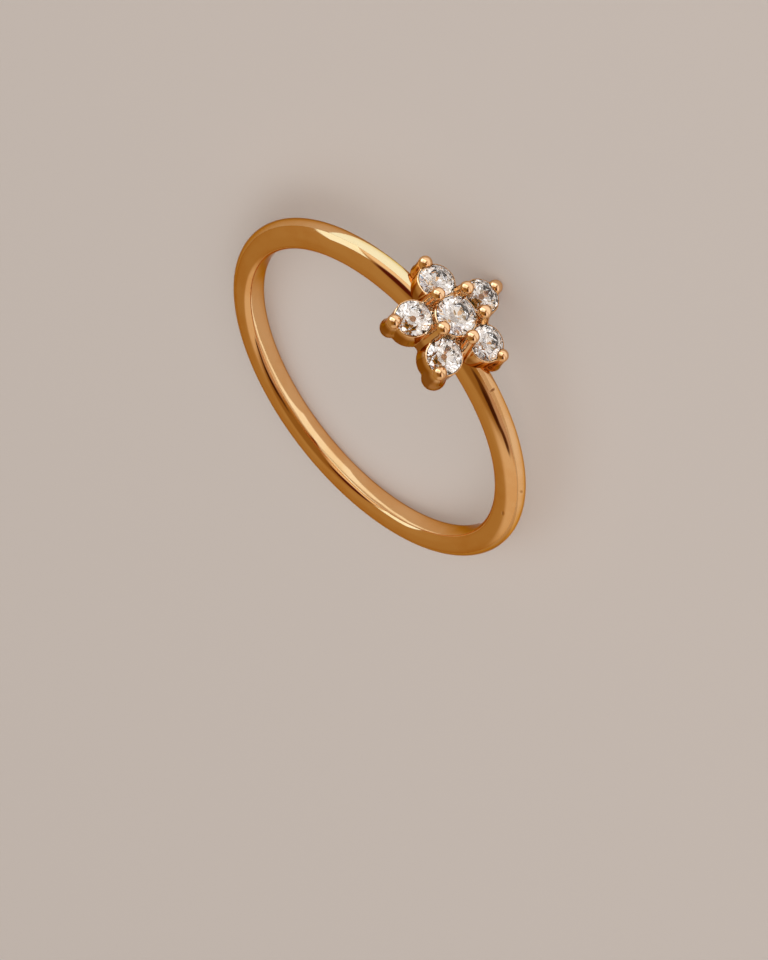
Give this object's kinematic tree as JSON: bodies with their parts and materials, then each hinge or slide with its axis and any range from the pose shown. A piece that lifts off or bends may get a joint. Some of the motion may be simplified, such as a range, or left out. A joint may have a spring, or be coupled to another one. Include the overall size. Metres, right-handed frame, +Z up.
{
  "type": "flower ring",
  "caption": "Slim polished finger ring whose flower head holds small round clear stones in beaded prongs.",
  "frame": {"origin": "middle of the footprint at the level of the surface that the ring lies on", "axes": "+Z up; the flower faces -Y and a little up; the finger axis leans 8 degrees from +Z towards +Y; +X runs across the flower"},
  "size_m": [0.0194, 0.0214, 0.0061],
  "materials": {
    "gold_metal": "polished",
    "clear_stone": "faceted and polished"
  },
  "bodies": {
    "root": {"shank_and_head": "gold_metal", "centre_stone": "clear_stone", "petal_stone_1": "clear_stone", "petal_stone_2": "clear_stone", "petal_stone_3": "clear_stone", "petal_stone_4": "clear_stone", "petal_stone_5": "clear_stone"}
  },
  "joints": []
}
